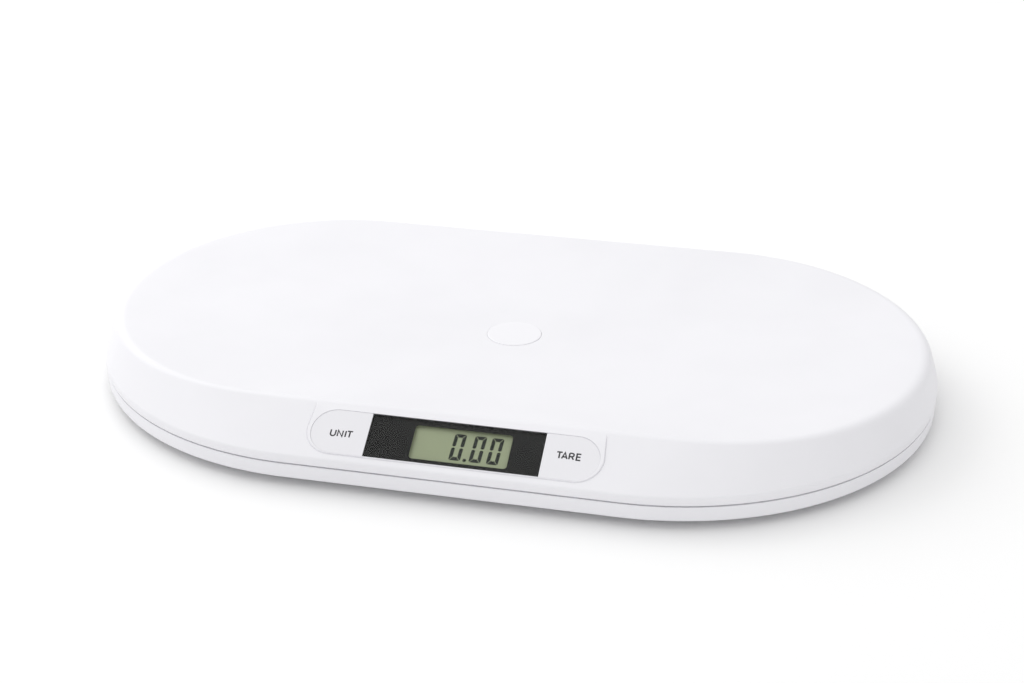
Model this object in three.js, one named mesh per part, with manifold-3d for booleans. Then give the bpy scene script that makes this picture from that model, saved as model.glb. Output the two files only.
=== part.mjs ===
// Baby and small-animal weighing scale: a dished oval tray over a low base, with a sloped
// control strip at the front. Millimetres, +Z up, floor at z = 0, front towards -Y.
import * as THREE from 'three';
import { mergeVertices } from 'three/addons/utils/BufferGeometryUtils.js';
import Module from 'manifold-3d';

const wasm = await Module();
wasm.setup();

// ---- plan outline: an oval of two half circles joined by straights ----
const LENGTH = 550;
const WIDTH = 350;
const RIM_LENGTH = 537.2;
const RIM_WIDTH = 280;
const ARC_STEPS = 22;
const STRAIGHT_STEPS = 3;

// ---- heights above the floor ----
const BASE_BOTTOM = 6;
const BASE_FLOOR_TOP = 8.4;
const BASE_WALL_TOP = 15.8;
const TONGUE_TOP = 19.8;
const LIP_BOTTOM = 16.6;
const LIP_TOP = 21.9;
const RIM_CORNER = 42.7;
const TRAY_CENTRE = 29.8;
const TRAY_WALL = 2.6;
const DISH_POWER = 2.2;
const UNDER_BASE = 5;

// ---- how far the shells' faces lie inside the plan outline ----
const CREASE_SIZE = 1.4;
const LIP_DRAFT = 0.2;
const LIP_WALL = 2.4;
const BASE_WALL_OUTER = 0.6;
const TONGUE_OUTER = 3.1;
const TONGUE_INNER = 5;

// ---- centre cap ----
const CAP_RADIUS = 17.75;
const CAP_RECESS_RADIUS = 18.1;
const CAP_RECESS_DEPTH = 0.6;
const CAP_STEM_RADIUS = 3;
const CAP_STEM_BORE = 3.4;

// ---- control strip, in its own tilted frame ----
const STRIP_UP_SLOPE = 19.8;
const STRIP_RISE = 0.9;
const STRIP_HALF = 86.8;
const STRIP_HEIGHT = 29.2;
const STRIP_GAP = 0.3;
const STRIP_TOP = -0.5;
const PAD = { half: 89.6, below: 15.2, above: 17.5, corner: 16.5, top: -0.2 };
const WINDOW_WIDTH = 105.2;
const WINDOW_THICK = 1.5;
const LCD_VIEW = [58.5, 21.8];
const LCD_SHIFT = 2.6;
const LCD = { x: 31.4, y: 11.6, top: -4.5, step: -5.6, bottom: -6.7, ledge: 2.8 };
const HOLDER = { x: 52.4, y: 14.1, plate: 1.9, boxX: 34, boxY: 13.4, hollowX: 32, hollowY: 12 };
const CONNECTOR = { x: 28, low: -11.4, high: -9.4, top: -5.9 };
const BUTTON = { depth: 5, flange: 1.3, flangeThick: 0.8, wall: 1.6, bossRadius: 3, bossDepth: 5.7 };
const STEM_RADIUS = 1.7;
const SWITCH = { x: 69, half: 3.1, height: 3.6, plungerBore: 2 };
const BOARD_TOP = -11;
const BOARD_THICK = 1.6;
const BOARD_UNDER = BOARD_TOP - BOARD_THICK;
const BOARD = { x: 97, tab: 6, middleX: 84, y: 12.4, screwHole: 1.8 };
const BOARD_POST = { x: 92, radius: 3.2, bore: 1.5 };
const FIT = 0.3;

// ---- feet, screws and batteries ----
const FOOT_X = 190;
const FOOT_Y = 92;
const RING_OUTER = 25;
const RING_INNER = 23;
const RING_TOP = 14;
const FOOT_WELL = { radius: 21, top: 9 };
const LEAD_NOTCH = { from: 18, to: 28, half: 2.6, bottom: 9.2 };
const SHELL_SCREWS = [[238, 0], [-238, 0], [75, 128], [-75, 128], [75, -128], [-75, -128]];
const SCREW_BOSS = { top: 13.5, baseRadius: 4.6, shellRadius: 4, bore: 1.8, headBore: 3.5, headSeat: 9.7 };
const BOARD_SCREW = { headRadius: 2.4, headHeight: 1.6, shankRadius: 1.2, length: 8 };
const SHELL_SCREW = { headRadius: 2.9, headHeight: 2.2, shankRadius: 1.5, length: 20, bottom: 7.2 };
const CELL_RADIUS = 5.2;
const CELL_LENGTH = 43.3;
const CELL_PITCH = 11.2;
const CELL_HEIGHT = 14;
const CELL_SHIFT = 2.35;
const CELL_BUTTON = { radius: 1.9, height: 1.2 };
const SPRING = { wire: 0.36, turns: 2.5, steps: 20, radius: 3.9, taper: 1.2, start: 0.5, length: 4.6 };
const CONTACT = { thick: 0.4, single: 9, double: 20.2, height: 9 };
const BAY = { x: 26.2, y: 17.2, top: 20.4 };
const BAY_BOX = { x: 28, y: 19, top: 22 };
const BAY_PAD = { left: -34, right: 35, y: 22, top: 12 };
const DOOR = { x: 29, y: 20, bottom: 6, top: 7.8, gap: 0.4 };
const FINGER_NOTCH = { x: 33, half: 6, top: 7.2 };
const TAB = { y: 10, half: 3, reach: 2, bottom: 7, gap: 0.4 };
const GRIP = { x: 19, pitch: 2, width: 0.8, half: 6, top: 6.5, count: 4 };
const LEAD_EXIT = { x: 20, y: -16, z: 16, bore: 1.5 };
const WIRE_RADIUS = 0.9;
const CELL_WIRE_RADIUS = 1;
const WIRE_HEIGHT = 10.2;

// ---- colours ----
const WHITE = { color: 0xf4f4f8, roughness: 0.42, metalness: 0 };
const BLACK = { color: 0x141414, roughness: 0.35, metalness: 0 };
const RUBBER = { color: 0x8d8d90, roughness: 0.85, metalness: 0 };
const STEEL = { color: 0xb9bcc0, roughness: 0.35, metalness: 1 };
const LENS = { color: 0xe8eae8, roughness: 0.05, metalness: 0 };
const LCD_GREEN = { color: 0x93a083, roughness: 0.3, metalness: 0 };
const BOARD_GREEN = { color: 0x1f5a36, roughness: 0.5, metalness: 0 };

// ---- solids: closed geometry to manifold and back ----
function toSolid(geometry) {
  const bare = geometry.clone();
  bare.deleteAttribute('normal');
  bare.deleteAttribute('uv');
  const merged = mergeVertices(bare, 1e-4);
  return new wasm.Manifold(new wasm.Mesh({
    numProp: 3,
    vertProperties: new Float32Array(merged.attributes.position.array),
    triVerts: new Uint32Array(merged.index.array),
  }));
}

function toGeometry(solid) {
  const mesh = solid.getMesh();
  const points = [];
  for (let i = 0; i < mesh.numVert; i += 1) {
    const at = i * mesh.numProp;
    points.push(mesh.vertProperties[at], mesh.vertProperties[at + 1], mesh.vertProperties[at + 2]);
  }
  const geometry = new THREE.BufferGeometry();
  geometry.setAttribute('position', new THREE.Float32BufferAttribute(points, 3));
  geometry.setIndex(Array.from(mesh.triVerts));
  geometry.computeVertexNormals();
  return geometry;
}

function joinAll(geometries) {
  return geometries.map(toSolid).reduce((all, next) => all.add(next));
}

function carve(base, additions, cuts) {
  let solid = toSolid(base);
  if (additions.length) {
    solid = solid.add(joinAll(additions));
  }
  if (cuts.length) {
    solid = solid.subtract(joinAll(cuts));
  }
  return toGeometry(solid);
}

// ---- basic shapes ----
function block(x0, x1, y0, y1, z0, z1) {
  const geometry = new THREE.BoxGeometry(x1 - x0, y1 - y0, z1 - z0);
  return geometry.translate((x0 + x1) / 2, (y0 + y1) / 2, (z0 + z1) / 2);
}

// A turned piece about a vertical axis; the profile runs [radius, height] from bottom to top.
function turned(profile, steps, x = 0, y = 0) {
  const points = profile.map(([r, z]) => new THREE.Vector2(r, z));
  const geometry = new THREE.LatheGeometry(points, steps);
  return geometry.rotateX(Math.PI / 2).translate(x, y, 0);
}

function rod(radius, z0, z1, x = 0, y = 0, steps = 16) {
  return turned([[0, z0], [radius, z0], [radius, z1], [0, z1]], steps, x, y);
}

function ring(inner, outer, z0, z1, steps = 20) {
  return turned([[inner, z0], [outer, z0], [outer, z1], [inner, z1], [inner, z0]], steps);
}

function plate(outline, z0, z1) {
  const shape = new THREE.Shape(outline.map(([x, y]) => new THREE.Vector2(x, y)));
  const geometry = new THREE.ExtrudeGeometry(shape, { depth: z1 - z0, bevelEnabled: false });
  return geometry.translate(0, 0, z0);
}

function tube(points, radius, sides, steps) {
  const section = new THREE.Shape();
  for (let i = 0; i < sides; i += 1) {
    const angle = (2 * Math.PI * i) / sides;
    const x = radius * Math.cos(angle);
    const y = radius * Math.sin(angle);
    if (i === 0) {
      section.moveTo(x, y);
    } else {
      section.lineTo(x, y);
    }
  }
  section.closePath();
  const knots = points.map((p) => new THREE.Vector3(...p));
  const curve = new THREE.CatmullRomCurve3(knots, false, 'catmullrom', 0.25);
  return new THREE.ExtrudeGeometry(section, { steps, extrudePath: curve, bevelEnabled: false });
}

// ---- the oval plan ----
// Each station of the oval is [side, cos, sin]: side says where along the straight it sits.
function ovalStations() {
  const stations = [];
  for (const end of [1, -1]) {
    for (let i = 0; i <= ARC_STEPS; i += 1) {
      const angle = -Math.PI / 2 + (Math.PI * i) / ARC_STEPS;
      stations.push([end, end * Math.cos(angle), end * Math.sin(angle)]);
    }
    for (let i = 1; i < STRAIGHT_STEPS; i += 1) {
      stations.push([end * (1 - (2 * i) / STRAIGHT_STEPS), 0, end]);
    }
  }
  return stations;
}

const STATIONS = ovalStations();
const EDGE = { straight: (LENGTH - WIDTH) / 2, radius: WIDTH / 2 };
const RIM = { straight: (RIM_LENGTH - RIM_WIDTH) / 2, radius: RIM_WIDTH / 2 };

function ovalPoint([side, cos, sin], oval, z) {
  return new THREE.Vector3(side * oval.straight + oval.radius * cos, oval.radius * sin, z);
}

function ovalRing(oval, z) {
  return STATIONS.map((station) => ovalPoint(station, oval, z));
}

function inset(oval, distance) {
  return { straight: oval.straight, radius: oval.radius - distance };
}

function scaled(oval, factor) {
  return { straight: oval.straight * factor, radius: oval.radius * factor };
}

// Skins a stack of rings, closing the first and the last onto a point at the centre.
function skin(firstCentre, rings, lastCentre) {
  const n = STATIONS.length;
  const first = new THREE.Vector3(0, 0, firstCentre);
  const points = [first, ...rings.flat(), new THREE.Vector3(0, 0, lastCentre)];
  const last = points.length - 1;
  const faces = [];
  for (let i = 0; i < n; i += 1) {
    const j = (i + 1) % n;
    faces.push(0, 1 + i, 1 + j);
    for (let k = 0; k < rings.length - 1; k += 1) {
      const a = 1 + k * n;
      const b = a + n;
      faces.push(a + i, b + i, b + j, a + i, b + j, a + j);
    }
    const top = 1 + (rings.length - 1) * n;
    faces.push(top + i, last, top + j);
  }
  const geometry = new THREE.BufferGeometry().setFromPoints(points);
  geometry.setIndex(faces);
  return geometry;
}

// ---- top shell: lip, sloped skirt, rounded rim and dished tray, one wall thick ----
function dishHeight(factor) {
  return TRAY_CENTRE + (RIM_CORNER - TRAY_CENTRE) * factor ** DISH_POWER;
}

// The rounding is tight along the sides and wide around the ends.
function rimRounding(cos) {
  return 3 + 4 * cos * cos;
}

function rimRings(steps) {
  const rings = [];
  for (let i = 0; i <= steps; i += 1) {
    const t = i / steps;
    rings.push(STATIONS.map((station) => {
      const size = rimRounding(station[1]);
      const corner = ovalPoint(station, RIM, RIM_CORNER);
      const crease = ovalPoint(station, EDGE, LIP_TOP);
      const reach = RIM.radius + RIM.straight * Math.abs(station[1]);
      const factor = 1 - size / reach;
      const inner = ovalPoint(station, scaled(RIM, factor), dishHeight(factor));
      const outer = corner.clone().add(crease.sub(corner).setLength(size));
      return new THREE.QuadraticBezierCurve3(inner, corner, outer).getPoint(t);
    }));
  }
  return rings;
}

function creaseRings(steps) {
  const rings = [];
  for (let i = 0; i <= steps; i += 1) {
    rings.push(STATIONS.map((station) => {
      const crease = ovalPoint(station, EDGE, LIP_TOP);
      const rim = ovalPoint(station, RIM, RIM_CORNER);
      const above = crease.clone().add(rim.sub(crease).setLength(CREASE_SIZE));
      const below = crease.clone().add(new THREE.Vector3(0, 0, -CREASE_SIZE));
      return new THREE.QuadraticBezierCurve3(above, crease, below).getPoint(i / steps);
    }));
  }
  return rings;
}

function topShellBody() {
  const tray = [0.16, 0.32, 0.48, 0.64, 0.78, 0.9];
  const under = [0.9, 0.7, 0.5, 0.3, 0.15];
  const rings = [
    ...tray.map((f) => ovalRing(scaled(RIM, f), dishHeight(f))),
    ...rimRings(4),
    ...creaseRings(3),
    ovalRing(inset(EDGE, LIP_DRAFT), LIP_BOTTOM),
    ovalRing(inset(EDGE, LIP_WALL), LIP_BOTTOM),
    ovalRing(inset(EDGE, LIP_WALL), LIP_TOP - 1.3),
    ovalRing({ straight: RIM.straight - 1.2, radius: RIM.radius - 1.4 }, RIM_CORNER - 3.3),
    ...under.map((f) => ovalRing(scaled(RIM, f), dishHeight(f) - TRAY_WALL)),
  ];
  return skin(dishHeight(0), rings, dishHeight(0) - TRAY_WALL);
}

// ---- control strip frame: origin just over the skirt's plane, X along it, Y up the slope ----
const SKIRT_RUN = EDGE.radius - RIM.radius;
const SKIRT_RISE = RIM_CORNER - LIP_TOP;
const SLOPE = Math.atan2(SKIRT_RISE, SKIRT_RUN);
const strip = new THREE.Group();
strip.rotation.x = SLOPE;
strip.position.set(0, -EDGE.radius, LIP_TOP);
strip.translateY(STRIP_UP_SLOPE);
strip.translateZ(STRIP_RISE);
strip.updateMatrix();

function onStrip(geometry) {
  return geometry.applyMatrix4(strip.matrix);
}

function arcPoints(x, y, radius, from, to, steps) {
  const points = [];
  for (let i = 0; i <= steps; i += 1) {
    const angle = THREE.MathUtils.degToRad(from + ((to - from) * i) / steps);
    points.push([x + radius * Math.cos(angle), y + radius * Math.sin(angle)]);
  }
  return points;
}

function pillOutline(grow) {
  const radius = STRIP_HEIGHT / 2 + grow;
  const x = STRIP_HALF - STRIP_HEIGHT / 2;
  return [...arcPoints(x, 0, radius, -90, 90, 14), ...arcPoints(-x, 0, radius, 90, 270, 14)];
}

// A button is square towards the window and round at its outer end.
function buttonOutline(grow) {
  const radius = STRIP_HEIGHT / 2 + grow;
  const x = STRIP_HALF - STRIP_HEIGHT / 2;
  const inner = WINDOW_WIDTH / 2 + STRIP_GAP + Math.max(0, -grow);
  return [[inner, -radius], ...arcPoints(x, 0, radius, -90, 90, 14), [inner, radius]];
}

// The raised pad round the controls: straight sides from the rim down, then round corners.
function padOutline() {
  const x = PAD.half - PAD.corner;
  const y = PAD.corner - PAD.below;
  return [
    ...arcPoints(-x, y, PAD.corner, 180, 270, 7),
    ...arcPoints(x, y, PAD.corner, 270, 360, 7),
    [PAD.half, PAD.above],
    [-PAD.half, PAD.above],
  ];
}

function topShell() {
  const added = [onStrip(plate(padOutline(), -STRIP_RISE - 1, PAD.top))];
  const cuts = [
    onStrip(plate(pillOutline(STRIP_GAP), -9, 4)),
    rod(CAP_RECESS_RADIUS, TRAY_CENTRE - CAP_RECESS_DEPTH, TRAY_CENTRE + 6, 0, 0, 32),
    rod(CAP_STEM_BORE, TRAY_CENTRE - 8, TRAY_CENTRE + 1, 0, 0, 16),
  ];
  for (const x of [-BOARD_POST.x, BOARD_POST.x]) {
    added.push(onStrip(rod(BOARD_POST.radius, BOARD_TOP + FIT, -1.5, x, 0, 12)));
    cuts.push(onStrip(rod(BOARD_POST.bore, BOARD_TOP - 1, -4.4, x, 0, 12)));
  }
  for (const [x, y] of SHELL_SCREWS) {
    const atEnd = Math.abs(x) > RIM.straight;
    const factor = atEnd ? Math.abs(x) / (RIM_LENGTH / 2) : Math.abs(y) / RIM.radius;
    const top = dishHeight(factor) - TRAY_WALL + 1;
    added.push(rod(SCREW_BOSS.shellRadius, SCREW_BOSS.top + FIT, top, x, y, 12));
    cuts.push(rod(SCREW_BOSS.bore, SCREW_BOSS.top - 1, 31, x, y, 12));
  }
  return carve(topShellBody(), added, cuts);
}

// ---- base shell: floor, wall, locating tongue, foot rings, screw bosses and battery bay ----
function baseShell() {
  const rings = [
    ovalRing(inset(EDGE, 3.2), BASE_BOTTOM),
    ovalRing(inset(EDGE, 1.5), BASE_BOTTOM + 0.7),
    ovalRing(inset(EDGE, 0.8), BASE_BOTTOM + 2.4),
    ovalRing(inset(EDGE, BASE_WALL_OUTER), BASE_WALL_TOP),
    ovalRing(inset(EDGE, TONGUE_OUTER), BASE_WALL_TOP),
    ovalRing(inset(EDGE, TONGUE_OUTER), TONGUE_TOP),
    ovalRing(inset(EDGE, TONGUE_INNER), TONGUE_TOP),
    ovalRing(inset(EDGE, TONGUE_INNER), BASE_FLOOR_TOP),
  ].reverse();
  const body = skin(BASE_FLOOR_TOP, rings, BASE_BOTTOM);
  const doorX = DOOR.x + DOOR.gap;
  const doorY = DOOR.y + DOOR.gap;
  const exit = rod(LEAD_EXIT.bore, 0, 4, 0, 0, 10).rotateX(Math.PI / 2);
  const added = [
    block(BAY_PAD.left, BAY_PAD.right, -BAY_PAD.y, BAY_PAD.y, BASE_BOTTOM, BAY_PAD.top),
    block(-BAY_BOX.x, BAY_BOX.x, -BAY_BOX.y, BAY_BOX.y, BAY_PAD.top - 1, BAY_BOX.top),
  ];
  const cuts = [
    block(-BAY.x, BAY.x, -BAY.y, BAY.y, UNDER_BASE, BAY.top),
    block(-doorX, doorX, -doorY, doorY, UNDER_BASE, DOOR.top + FIT),
    block(DOOR.x, FINGER_NOTCH.x, -FINGER_NOTCH.half, FINGER_NOTCH.half, UNDER_BASE, FINGER_NOTCH.top),
    exit.translate(LEAD_EXIT.x, LEAD_EXIT.y, LEAD_EXIT.z),
  ];
  for (const [x, y] of SHELL_SCREWS) {
    added.push(rod(SCREW_BOSS.baseRadius, BASE_FLOOR_TOP - 1, SCREW_BOSS.top, x, y, 12));
    cuts.push(rod(SCREW_BOSS.headBore, UNDER_BASE, SCREW_BOSS.headSeat, x, y, 12));
    cuts.push(rod(SCREW_BOSS.bore, SCREW_BOSS.headSeat - 0.7, SCREW_BOSS.top + 1.5, x, y, 12));
  }
  for (const y of [-TAB.y, TAB.y]) {
    const half = TAB.half + TAB.gap;
    cuts.push(block(-DOOR.x - TAB.half, -BAY.x + 0.2, y - half, y + half, TAB.bottom - FIT, 9));
  }
  for (const [x, y] of footCentres()) {
    added.push(ring(RING_INNER, RING_OUTER, BASE_FLOOR_TOP - 1, RING_TOP).translate(x, y, 0));
    cuts.push(rod(FOOT_WELL.radius, UNDER_BASE, FOOT_WELL.top, x, y, 20));
    const { from, to, half, bottom } = LEAD_NOTCH;
    const notch = block(from, to, -half, half, bottom, 20).rotateZ(leadAngle(x, y));
    cuts.push(notch.translate(x, y, 0));
  }
  return carve(body, added, cuts);
}

function footCentres() {
  return [[-FOOT_X, -FOOT_Y], [FOOT_X, -FOOT_Y], [-FOOT_X, FOOT_Y], [FOOT_X, FOOT_Y]];
}

// The way each load cell's lead leaves its ring, towards the middle of the base.
function leadAngle(x, y) {
  return Math.atan2(y < 0 ? -20 : -32, (y < 0 ? -40 : -70) * Math.sign(x));
}

function leadPoints(x, y) {
  const side = Math.sign(x);
  const angle = leadAngle(x, y);
  const along = (r, z) => [x + r * Math.cos(angle), y + r * Math.sin(angle), z];
  const front = [
    [142, -112, WIRE_HEIGHT], [90, -112, WIRE_HEIGHT], [42, -112, WIRE_HEIGHT], [30, -126, 11.5],
  ];
  const back = [
    [120, 58, WIRE_HEIGHT], [66, 0, WIRE_HEIGHT], [18, -58, WIRE_HEIGHT], [12, -118, 10.6],
  ];
  return [
    along(16.6, 11.9),
    along(24.5, 11.9),
    along(33, WIRE_HEIGHT),
    ...(y < 0 ? front : back).map(([px, py, pz]) => [side * px, py, pz]),
    ...underBoard(y < 0 ? side * 28 : side * 12),
  ];
}

// The last two points of a lead: below the board, then just under its solder side.
function underBoard(x) {
  return [BOARD_UNDER - 5.4, BOARD_UNDER - 0.4].map((z) => {
    const point = new THREE.Vector3(x, 5, z);
    return point.applyMatrix4(strip.matrix).toArray();
  });
}

// ---- foot parts, drawn about the foot's own centre ----
function footPad() {
  return turned([[0, 0], [16.6, 0], [17.4, 0.6], [17.4, 1.7], [0, 1.7]], 20);
}

function footCap() {
  return turned([
    [0, 2], [19.6, 2], [20.1, 2.6], [20.1, 8.7], [22.2, 8.7], [22.2, 9.9], [18.2, 9.9],
    [18.2, 4.4], [5, 4.4], [5, 10.9], [0, 10.9],
  ], 20);
}

// A stamped steel load cell: a square frame with a tongue that the foot presses on.
function loadCell() {
  const outline = [
    [-16, -11], [-11, -16], [11, -16], [16, -11], [16, 11], [11, 16], [-11, 16], [-16, 11],
  ];
  const slots = [
    block(-9.5, -7.6, -8, 9, 10, 14),
    block(7.6, 9.5, -8, 9, 10, 14),
    block(-9.5, 9.5, 7.4, 9, 10, 14),
  ];
  return carve(plate(outline, 11.5, 12.9), [], slots);
}

function cellRetainer() {
  return turned([
    [6, 13.2], [22.4, 13.2], [22.4, 14.3], [25, 14.3], [25, 15.8], [6, 15.8], [6, 13.2],
  ], 20);
}

function screw({ headRadius, headHeight, shankRadius, length }) {
  return turned([
    [0, 0], [headRadius, 0], [headRadius, headHeight],
    [shankRadius, headHeight], [shankRadius, length - 1.5], [0, length],
  ], 8);
}

// ---- battery parts ----
function batteryCell() {
  const half = CELL_LENGTH / 2;
  return turned([
    [0, -half], [CELL_RADIUS, -half], [CELL_RADIUS, half - 0.5], [CELL_RADIUS - 0.5, half],
    [CELL_BUTTON.radius, half], [CELL_BUTTON.radius, half + CELL_BUTTON.height],
    [0, half + CELL_BUTTON.height],
  ], 16).rotateY(Math.PI / 2);
}

function contactSpring() {
  const points = [];
  for (let i = 0; i <= SPRING.steps; i += 1) {
    const t = i / SPRING.steps;
    const angle = 2 * Math.PI * SPRING.turns * t;
    const radius = SPRING.radius - SPRING.taper * t;
    const x = SPRING.start + SPRING.length * t;
    points.push([x, radius * Math.cos(angle), radius * Math.sin(angle)]);
  }
  return tube(points, SPRING.wire, 4, SPRING.steps);
}

function batteryDoor() {
  const grooves = [];
  for (let i = 0; i < GRIP.count; i += 1) {
    const x = GRIP.x + GRIP.pitch * i;
    grooves.push(block(x, x + GRIP.width, -GRIP.half, GRIP.half, UNDER_BASE, GRIP.top));
  }
  const left = -DOOR.x - TAB.reach;
  const tabs = [-TAB.y, TAB.y].map(
    (y) => block(left, -DOOR.x + 1, y - TAB.half, y + TAB.half, TAB.bottom, DOOR.top),
  );
  return carve(block(-DOOR.x, DOOR.x, -DOOR.y, DOOR.y, DOOR.bottom, DOOR.top), tabs, grooves);
}

// ---- strip parts, drawn in the strip's frame ----
function buttonCap() {
  const bottom = STRIP_TOP - BUTTON.depth;
  const body = plate(buttonOutline(0), bottom, STRIP_TOP);
  const flange = plate(buttonOutline(BUTTON.flange), bottom, bottom + BUTTON.flangeThick);
  const hollow = plate(buttonOutline(-BUTTON.wall), bottom - 1, STRIP_TOP - BUTTON.wall);
  const boss = rod(BUTTON.bossRadius, STRIP_TOP - BUTTON.bossDepth, STRIP_TOP - 1, SWITCH.x, 0, 12);
  return carve(carve(body, [flange], [hollow]), [boss], []);
}

function pressStem() {
  const top = STRIP_TOP - BUTTON.bossDepth - FIT;
  return rod(STEM_RADIUS, BOARD_TOP + STEM_RADIUS, top, SWITCH.x, 0, 12);
}

function lcdHolder() {
  const [width, height] = LCD_VIEW;
  const top = STRIP_TOP - WINDOW_THICK - FIT;
  const under = top - HOLDER.plate;
  const opening = new THREE.CylinderGeometry(1, 1, 2, 4, 1);
  opening.rotateY(Math.PI / 4).rotateX(Math.PI / 2);
  opening.scale(width / Math.SQRT2, height / Math.SQRT2, 3).translate(LCD_SHIFT, 0, top);
  const face = block(-HOLDER.x, HOLDER.x, -HOLDER.y, HOLDER.y, under, top);
  const box = lcdBlock(HOLDER.boxX, -HOLDER.boxY, HOLDER.boxY, BOARD_TOP + FIT, top - 1);
  const hollow = lcdBlock(HOLDER.hollowX, -HOLDER.hollowY, HOLDER.hollowY, BOARD_TOP - 1, under);
  return carve(face, [box], [opening, hollow]);
}

// A block centred on the display, half the given width to either side.
function lcdBlock(half, y0, y1, z0, z1) {
  return block(LCD_SHIFT - half, LCD_SHIFT + half, y0, y1, z0, z1);
}

function lcdGlass() {
  const front = lcdBlock(LCD.x, -LCD.y, LCD.y, LCD.step, LCD.top);
  const back = lcdBlock(LCD.x, -LCD.y + LCD.ledge, LCD.y, LCD.bottom, LCD.step + 0.1);
  return carve(front, [back], []);
}

function mainBoard() {
  const { x, tab, middleX, y } = BOARD;
  const outline = [
    [-x, -tab], [-middleX, -tab], [-middleX, -y], [middleX, -y], [middleX, -tab], [x, -tab],
    [x, tab], [middleX, tab], [middleX, y], [-middleX, y], [-middleX, tab], [-x, tab],
  ];
  const holes = [-BOARD_POST.x, BOARD_POST.x].map(
    (at) => rod(BOARD.screwHole, BOARD_TOP - 4, BOARD_TOP + 1, at, 0, 12),
  );
  return carve(plate(outline, BOARD_UNDER, BOARD_TOP), [], holes);
}

function switchBody() {
  const { x, half, height, plungerBore } = SWITCH;
  const body = block(x - half, x + half, -half, half, BOARD_TOP + FIT, BOARD_TOP + height);
  return carve(body, [], [rod(plungerBore, BOARD_TOP + 0.7, BOARD_TOP + 5, x, 0, 12)]);
}

function chip() {
  return turned([[0, -2.2], [3.4, -1.9], [6, -1], [7, 0], [0, 0]], 16, 52, 0)
    .translate(0, 0, BOARD_UNDER - FIT);
}

// ---- assembly ----
const scale = new THREE.Group();
scale.add(strip);

function place(parent, name, geometry, look) {
  const mesh = new THREE.Mesh(geometry, new THREE.MeshStandardMaterial(look));
  mesh.name = name;
  parent.add(mesh);
  return mesh;
}

place(scale, 'top_shell', topShell(), WHITE);
place(scale, 'base_shell', baseShell(), WHITE);
place(scale, 'centre_cap', turned([
  [0, -4], [CAP_STEM_RADIUS, -4], [CAP_STEM_RADIUS, -FIT], [CAP_RADIUS, -FIT],
  [CAP_RADIUS, 0.35], [CAP_RADIUS - 0.35, 0.6], [0, 0.7],
], 32), WHITE).position.z = TRAY_CENTRE;

// Control strip.
place(strip, 'window_lens', block(
  -WINDOW_WIDTH / 2, WINDOW_WIDTH / 2,
  -STRIP_HEIGHT / 2, STRIP_HEIGHT / 2,
  STRIP_TOP - WINDOW_THICK, STRIP_TOP,
), LENS);
place(strip, 'lcd_holder', lcdHolder(), BLACK);
place(strip, 'lcd_glass', lcdGlass(), LCD_GREEN);
place(strip, 'lcd_connector', lcdBlock(
  CONNECTOR.x, CONNECTOR.low, CONNECTOR.high, BOARD_TOP + FIT, CONNECTOR.top,
), RUBBER);
place(strip, 'main_board', mainBoard(), BOARD_GREEN);
place(strip, 'controller_chip', chip(), BLACK);
for (const [side, name] of [[-1, 'unit'], [1, 'tare']]) {
  const half = new THREE.Group();
  half.rotation.z = side < 0 ? Math.PI : 0;
  strip.add(half);
  place(half, `${name}_button`, buttonCap(), WHITE);
  place(half, `${name}_stem`, pressStem(), BLACK);
  place(half, `${name}_switch`, switchBody(), STEEL);
  const boardScrew = place(half, `${name}_board_screw`, screw(BOARD_SCREW), STEEL);
  boardScrew.position.set(BOARD_POST.x, 0, BOARD_UNDER - FIT - BOARD_SCREW.headHeight);
}

// Feet, one over each load cell.
footCentres().forEach(([x, y], index) => {
  const foot = new THREE.Group();
  foot.position.set(x, y, 0);
  scale.add(foot);
  const name = ['front_left', 'front_right', 'back_left', 'back_right'][index];
  place(foot, `foot_pad_${name}`, footPad(), RUBBER);
  place(foot, `foot_cap_${name}`, footCap(), WHITE);
  place(foot, `load_cell_${name}`, loadCell(), STEEL).rotation.z = leadAngle(x, y) + Math.PI / 2;
  place(foot, `cell_retainer_${name}`, cellRetainer(), WHITE);
  place(scale, `cell_lead_${name}`, tube(leadPoints(x, y), CELL_WIRE_RADIUS, 5, 20), BLACK);
});

// Batteries, their contacts and the door.
[-1, 0, 1].forEach((row, index) => {
  const turn = row === 0 ? -1 : 1;
  const cell = place(scale, `battery_${index + 1}`, batteryCell(), STEEL);
  cell.position.set(turn * CELL_SHIFT, row * CELL_PITCH, CELL_HEIGHT);
  cell.rotation.z = turn < 0 ? Math.PI : 0;
  const spring = place(scale, `contact_spring_${index + 1}`, contactSpring(), STEEL);
  spring.position.set(-turn * (BAY.x - 0.9), row * CELL_PITCH, CELL_HEIGHT);
  spring.rotation.z = turn < 0 ? Math.PI : 0;
});
for (const [name, side, y, width] of [
  ['left_single', -1, CELL_PITCH, CONTACT.single],
  ['left_double', -1, -CELL_PITCH / 2, CONTACT.double],
  ['right_double', 1, CELL_PITCH / 2, CONTACT.double],
  ['right_single', 1, -CELL_PITCH, CONTACT.single],
]) {
  const leaf = new THREE.BoxGeometry(CONTACT.thick, width, CONTACT.height);
  const contact = place(scale, `contact_plate_${name}`, leaf, STEEL);
  contact.position.set(side * (BAY.x - 0.5), y, CELL_HEIGHT);
}
place(scale, 'battery_door', batteryDoor(), WHITE);
place(scale, 'battery_lead', tube([
  [LEAD_EXIT.x, LEAD_EXIT.y - 0.5, LEAD_EXIT.z],
  [20, -24, 15.5],
  [12, -36, WIRE_HEIGHT],
  [0, -60, WIRE_HEIGHT],
  [0, -118, 10.6],
  ...underBoard(0),
], WIRE_RADIUS, 5, 18), BLACK);

// Screws that join the shells from below.
SHELL_SCREWS.forEach(([x, y], index) => {
  const fastener = place(scale, `shell_screw_${index + 1}`, screw(SHELL_SCREW), STEEL);
  fastener.position.set(x, y, SHELL_SCREW.bottom);
});

export default scale;
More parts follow.
